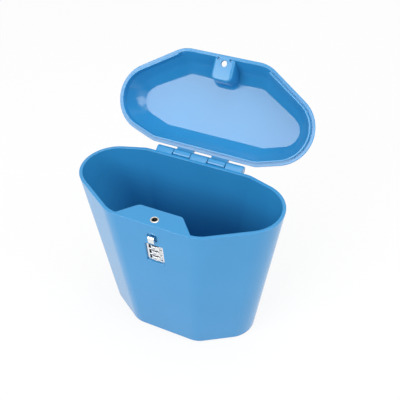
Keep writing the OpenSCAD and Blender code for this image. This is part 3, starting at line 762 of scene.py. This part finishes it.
def cover_plan(front, back, near, depth, chamfer):
    return [
        (-front, near), (front, near), (back, depth - chamfer),
        (back - chamfer, depth), (chamfer - back, depth), (-back, depth - chamfer),
    ]


def upright(points, low, high, edge=0):
    """Mesh from an outline in X and Y that runs along Z."""
    mesh = prism(points, low, high, edge)
    turn = Matrix(((0, 1, 0), (0, 0, 1), (1, 0, 0)))
    bmesh.ops.transform(mesh, matrix=turn.to_4x4(), verts=mesh.verts)
    return mesh


def lock_cover():
    """Shelf level with the rim, and the box below it that closes the lock in."""
    near = wall + seat_gap
    box = cover_plan(box_front_half, box_back_half, near, box_depth, box_chamfer)
    inner = [
        (box_wall - box_front_half, near - overrun), (box_front_half - box_wall, near - overrun),
        (box_back_half - box_wall, box_depth - box_wall), (box_wall - box_back_half, box_depth - box_wall),
    ]
    cover = solid("lock_cover", upright(box, box_low, -shelf_t / 2, box_edge_r), on_front)
    shelf = cover_plan(shelf_half, shelf_back_half, near, shelf_depth, box_chamfer)
    # Runs on over the rim's flat, so that shelf and wall meet without a seam
    shelf[:2] = [
        (-shelf_half, near), (-shelf_half, rim_edge_r),
        (shelf_half, rim_edge_r), (shelf_half, near),
    ]
    at_rim = Matrix.Translation((0, -half_d, body_h + shelf_rise))
    carve(cover, solid("shelf", upright(shelf, -shelf_t, 0, shelf_edge_r), at_rim), "UNION")
    carve(cover, solid("room", upright(inner, box_low + box_wall, room_top), on_front))
    middle = Matrix.Translation((0, (eyelet_low.y + eyelet_high.y) / 2, body_h))
    tube_r = eyelet_r - eyelet_roll_r
    seat = [
        (tube_r, hole_low), (tube_r, -eyelet_roll_r), (eyelet_r, -eyelet_roll_r),
        (eyelet_r, -eyelet_crown), (eyelet_r + eyelet_sink, shelf_rise), (eyelet_r + eyelet_sink, overrun),
    ]
    carve(cover, solid("eyelet_seat", turned(seat), middle))
    bore = [(screw_hole_r, 0), (screw_hole_r, box_wall + 2 * overrun)]
    inward = Matrix.Rotation(math.radians(-90), 4, "X")
    for x, z in screw_places:
        way = Matrix.Translation((x, box_depth - box_wall - overrun, z)) @ inward
        carve(cover, solid("screw_hole", turned(bore), on_front @ way))
    return cover


def frame_plate():
    """Plate round the dials, with a slot for each."""
    front = -frame_inset
    r = frame_edge_r
    levels = [(front - frame_t, 1, 0)]
    levels += [(front - r * (1 - math.sin(a)), 1, r * (1 - math.cos(a))) for a in arc()]
    low, high = dials_y - frame_half_h, dials_y + frame_half_h
    discs = box_discs(frame_half_w, low, high, frame_corner_r)
    plate = solid("dial_frame_plate", loft(discs, levels), on_face)
    for place in dial_places:
        mouth = [(front - frame_t - overrun, 1, 0)]
        mouth += [(front + cut_over - r * (1 - math.sin(a)), 1, -r * (1 - math.cos(a))) for a in arc()]
        mouth.append((front + overrun, 1, -r))
        slot = box_discs(slot_half_w, place.y - slot_half_h, place.y + slot_half_h, slot_corner_r)
        carve(plate, solid("slot", loft(slot, mouth), on_face))
    return plate


def on_dial(i):
    """Place of a dial: z along its axis, and its front toward -y."""
    place = dial_places[i]
    return on_front @ Matrix.Translation((0, -place.z, place.y))


def dial_groove(angle):
    """Change of a dial's radius: a groove between neighbouring numbers."""
    pitch = math.tau / dial_digits
    off = abs((angle + math.radians(90)) % pitch - pitch / 2)
    return -groove_depth * (1 + math.cos(math.pi * off / groove_half)) / 2 if off < groove_half else 0


def dial_wheel(i):
    r = dial_edge_r
    half = dial_t / 2
    section = [(dial_bore_r, half), (dial_bore_r, -half)]
    section += [(dial_r - r * (1 - math.sin(a)), r * (1 - math.cos(a)) - half) for a in arc()]
    section += [(dial_r - r * (1 - math.cos(a)), half - r * (1 - math.sin(a))) for a in arc()]
    return solid(f"dial_wheel_{i + 1}", turned(section, closed=True, reach=dial_groove), on_dial(i))


def dial_numbers(i):
    """Numbers round a dial, wrapped on to it."""
    joined = bmesh.new()
    for k in range(dial_digits):
        text = bpy.data.curves.new("number", "FONT")
        text.body = str(k)
        text.size = digit_size
        text.align_x = "CENTER"
        text.align_y = "CENTER"
        text.extrude = digit_rise
        holder = bpy.data.objects.new("number", text)
        bpy.context.scene.collection.objects.link(holder)
        flat = bpy.data.meshes.new_from_object(holder.evaluated_get(bpy.context.evaluated_depsgraph_get()))
        bpy.data.objects.remove(holder)
        for vert in flat.vertices:
            angle = math.tau * k / dial_digits + vert.co.x / dial_r
            out = dial_r + vert.co.z
            vert.co = (out * math.sin(angle), -out * math.cos(angle), vert.co.y)
        joined.from_mesh(flat)
        bpy.data.meshes.remove(flat)
    bmesh.ops.remove_doubles(joined, verts=joined.verts, dist=weld)
    return solid(f"dial_numbers_{i + 1}", joined, on_dial(i))


def push_button():
    """Button with a bevelled upper edge, on a neck that runs in the wall's slot."""
    top, low = button_y + button_h / 2, button_y - button_h / 2
    block = [
        (-seat_gap, low), (-seat_gap, top), (button_bevel - button_out, top),
        (-button_out, top - button_bevel), (-button_out, low),
    ]
    neck_top, neck_low = button_y + neck_h / 2, button_y - neck_h / 2
    near, far = -neck_over, wall + neck_over
    neck = [(near, neck_low), (far, neck_low), (far, neck_top), (near, neck_top)]
    button = solid("push_button", prism(block, -button_w / 2, button_w / 2, button_edge_r), on_front)
    carve(button, solid("neck", prism(neck, -neck_w / 2, neck_w / 2), on_front), "UNION")
    return button


def coil_ends():
    """Heights along the front wall at which the return spring's solid starts and stops."""
    solid_coil = nodes["return_spring"]
    to_wall = on_front.inverted() @ Matrix.Scale(1 / MM, 4) @ solid_coil.matrix_world
    heights = [(to_wall @ point.co).z for point in solid_coil.data.vertices]
    return min(heights), max(heights)


def return_coil():
    """Return spring round the spindle, as one wire wound from the spring's foot to its head."""
    foot, head = coil_ends()
    wound_r = (coil_high.x - coil_low.x) / 2 - coil_wire_r
    rise = head - foot - 2 * coil_wire_r
    rings = []
    for i in range(coil_turns * coil_steps + 1):
        angle = math.tau * i / coil_steps
        z = foot + coil_wire_r + rise * i / (coil_turns * coil_steps)
        ring = []
        for k in range(2 * edge_steps):
            around = math.tau * k / (2 * edge_steps)
            out = wound_r + coil_wire_r * math.cos(around)
            ring.append((out * math.cos(angle), out * math.sin(angle), z + coil_wire_r * math.sin(around)))
        rings.append(ring)
    return solid("return_coil", stack(rings), on_front @ Matrix.Translation((0, -dial_places[0].z, 0)))


def cable_eyelet():
    """Eyelet whose edge is rolled over into a crowned flange."""
    tube = eyelet_r - eyelet_roll_r
    inner = tube - eyelet_wall
    top = eyelet_high.z - eyelet_low.z
    under = top - eyelet_roll_r
    mouth_r = inner + eyelet_lip_r
    section = [(inner, 0), (tube, 0), (tube, under), (eyelet_r, under)]
    for k in range(2 * edge_steps + 1):
        share = k / (2 * edge_steps)
        section.append((eyelet_r - (eyelet_r - mouth_r) * share, top - eyelet_crown * (1 - share) ** 2))
    section += [
        (mouth_r - eyelet_lip_r * math.sin(a), top - eyelet_lip_r * (1 - math.cos(a))) for a in arc()[1:]
    ]
    place = Matrix.Translation((0, (eyelet_low.y + eyelet_high.y) / 2, eyelet_low.z))
    return solid("cable_eyelet", turned(section, closed=True), place)


# Pieces in their places

dress(tub_shell(), "safe", blue_abs, "blue_plastic", "tub")
dress(lid_shell(), "lid", blue_abs, "blue_plastic", "lid")
dress(lock_cover(), "safe", blue_abs, "blue_plastic", "lock_housing")
screws = solid("cover_screws", softened("housing_screws", screw_edge_r))
dress(screws, "safe", plated_steel, "steel", "housing_screws")
pin = solid("lid_pin", softened("hinge_pin", pin_edge_r))
dress(pin, "safe", plated_steel, "steel", "hinge_pin")
dress(frame_plate(), "safe", chrome, "chrome_plate", "dial_frame")
dress(cable_eyelet(), "safe", nickel, "chrome_plate", "eyelet")
dress(push_button(), "release", chrome, "chrome_plate", "release_button")
coil = dress(return_coil(), "safe", plated_steel, "steel", "return_spring")
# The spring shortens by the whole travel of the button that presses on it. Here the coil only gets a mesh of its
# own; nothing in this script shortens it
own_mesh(coil)
for i, body in enumerate(dial_names):
    wheel = dress(dial_wheel(i), body, chrome, "chrome_plate", f"dial_{i + 1}")
    # A dial's flanks, in its narrow slot, get the casting's dull grey in place of chrome: painted shade that
    # darkens the gaps between the dials
    wheel.data.materials.append(cast_zinc_and_flank_shade)
    for face in wheel.data.polygons:
        face.material_index = int(abs(face.normal.dot(face_up)) > shaded_flank_facing)
    dress(dial_numbers(i), body, enamel, "chrome_plate")


# Camera at the photograph's viewing angle, in degrees and millimetres
view_azimuth = math.radians(25.69)
view_elevation = math.radians(42.22)
view_roll = math.radians(-1.68)
view_distance = 511
view_target = Vector((20.76, 4.23, 146.14))
sensor_w = 36
focal_length = 55.25
view_back = Vector((
    math.sin(view_azimuth) * math.cos(view_elevation),
    -math.cos(view_azimuth) * math.cos(view_elevation),
    math.sin(view_elevation),
))
lens = bpy.data.cameras.new("camera")
lens.sensor_width = sensor_w
lens.lens = focal_length
camera = bpy.data.objects.new("camera", lens)
bpy.context.scene.collection.objects.link(camera)
aim = (-view_back).to_track_quat("-Z", "Y").to_matrix().to_4x4()
stand = Matrix.Translation((view_target + view_distance * view_back) * MM)
camera.matrix_world = stand @ aim @ Matrix.Rotation(view_roll, 4, "Z")
bpy.context.scene.camera = camera


# Stage: a pale floor, a white room and soft lamps, in metres
floor_half = 4
# Share of plain white that the camera sees in the floor. Near the safe it keeps the shadow. Further out,
# between these two distances, it becomes all white and meets the room without an edge.
floor_lift = 0.85
lift_start = 0.4
lift_end = 1.6
# Brightness of the room as it lights the safe, and of each lamp's face, where 1 is white
room_level = 0.53
key_level = 4.9
top_level = 1.8
fill_level = 3.4
# Lamps' sizes, and their places from what they light
key_size = (0.8, 0.6)
top_size = (1.0, 1.0)
fill_size = (0.8, 0.8)
key_distance = 1.2
top_place = Vector((0.1, 0.1, 1.3))
fill_place = Vector((1.2, -0.05, 0.8))
white_light = linear("#ffffff")


def seen(tree):
    """One where the camera looks, also by way of a reflection or through glass, and zero elsewhere."""
    path = add(tree, "ShaderNodeLightPath")
    mirrored = add(tree, "ShaderNodeMath", {
        0: path.outputs["Is Camera Ray"], 1: path.outputs["Is Glossy Ray"],
    }, operation="ADD")
    return add(tree, "ShaderNodeMath", {
        0: mirrored.outputs[0], 1: path.outputs["Is Transmission Ray"],
    }, operation="ADD", use_clamp=True).outputs[0]


def floor():
    mesh = bmesh.new()
    bmesh.ops.create_grid(mesh, x_segments=1, y_segments=1, size=floor_half)
    data = bpy.data.meshes.new("floor")
    mesh.to_mesh(data)
    mesh.free()
    made = bpy.data.objects.new("floor", data)
    bpy.context.scene.collection.objects.link(made)
    material, tree = new_material("floor_paper_matt")
    paper = add(tree, "ShaderNodeBsdfDiffuse", {"Color": linear("#f4f4f4")})
    white = add(tree, "ShaderNodeEmission", {"Color": white_light, "Strength": 1.0})
    place = add(tree, "ShaderNodeTexCoord").outputs["Object"]
    away = add(tree, "ShaderNodeVectorMath", {0: place}, operation="LENGTH")
    share = add(tree, "ShaderNodeMapRange", {
        "Value": away.outputs["Value"], "From Min": lift_start, "From Max": lift_end,
        "To Min": floor_lift, "To Max": 1.0,
    })
    lift = add(tree, "ShaderNodeMath", {0: seen(tree), 1: share.outputs["Result"]}, operation="MULTIPLY")
    surface = add(tree, "ShaderNodeMixShader", {
        0: lift.outputs[0], 1: paper.outputs["BSDF"], 2: white.outputs["Emission"],
    })
    add(tree, "ShaderNodeOutputMaterial", {"Surface": surface.outputs["Shader"]})
    data.materials.append(material)


def lamp(name, size, place, target, radiance):
    """Soft lamp of that size whose face has that brightness."""
    width, height = size
    data = bpy.data.lights.new(name, "AREA")
    data.shape = "RECTANGLE"
    data.size = width
    data.size_y = height
    data.energy = radiance * math.pi * width * height
    made = bpy.data.objects.new(name, data)
    bpy.context.scene.collection.objects.link(made)
    made.location = place
    made.rotation_euler = (target - place).to_track_quat("-Z", "Y").to_euler()


floor()
world = bpy.data.worlds.new("white_room")
world.use_nodes = True
walls = world.node_tree
walls.nodes.clear()
room = add(walls, "ShaderNodeMapRange", {"Value": seen(walls), "To Min": room_level, "To Max": 1.0})
sky = add(walls, "ShaderNodeBackground", {"Color": white_light, "Strength": room.outputs["Result"]})
add(walls, "ShaderNodeOutputWorld", {"Surface": sky.outputs["Background"]})
bpy.context.scene.world = world

# The key lamp stands where the open lid's flat inside mirrors it to the camera
lid_panel = on_lid @ Vector((0, 0, lid_h - lid_t)) * MM
panel_facing = swing.to_3x3() @ Vector((0, 0, -1))
key_way = 2 * panel_facing.dot(view_back) * panel_facing - view_back
lamp("key", key_size, lid_panel + key_distance * key_way, lid_panel, key_level)
middle = Vector((0, 0, body_h / 2 * MM))
lamp("top", top_size, middle + top_place, middle, top_level)
lamp("fill", fill_size, middle + fill_place, middle, fill_level)

bpy.context.scene.view_settings.view_transform = "Standard"
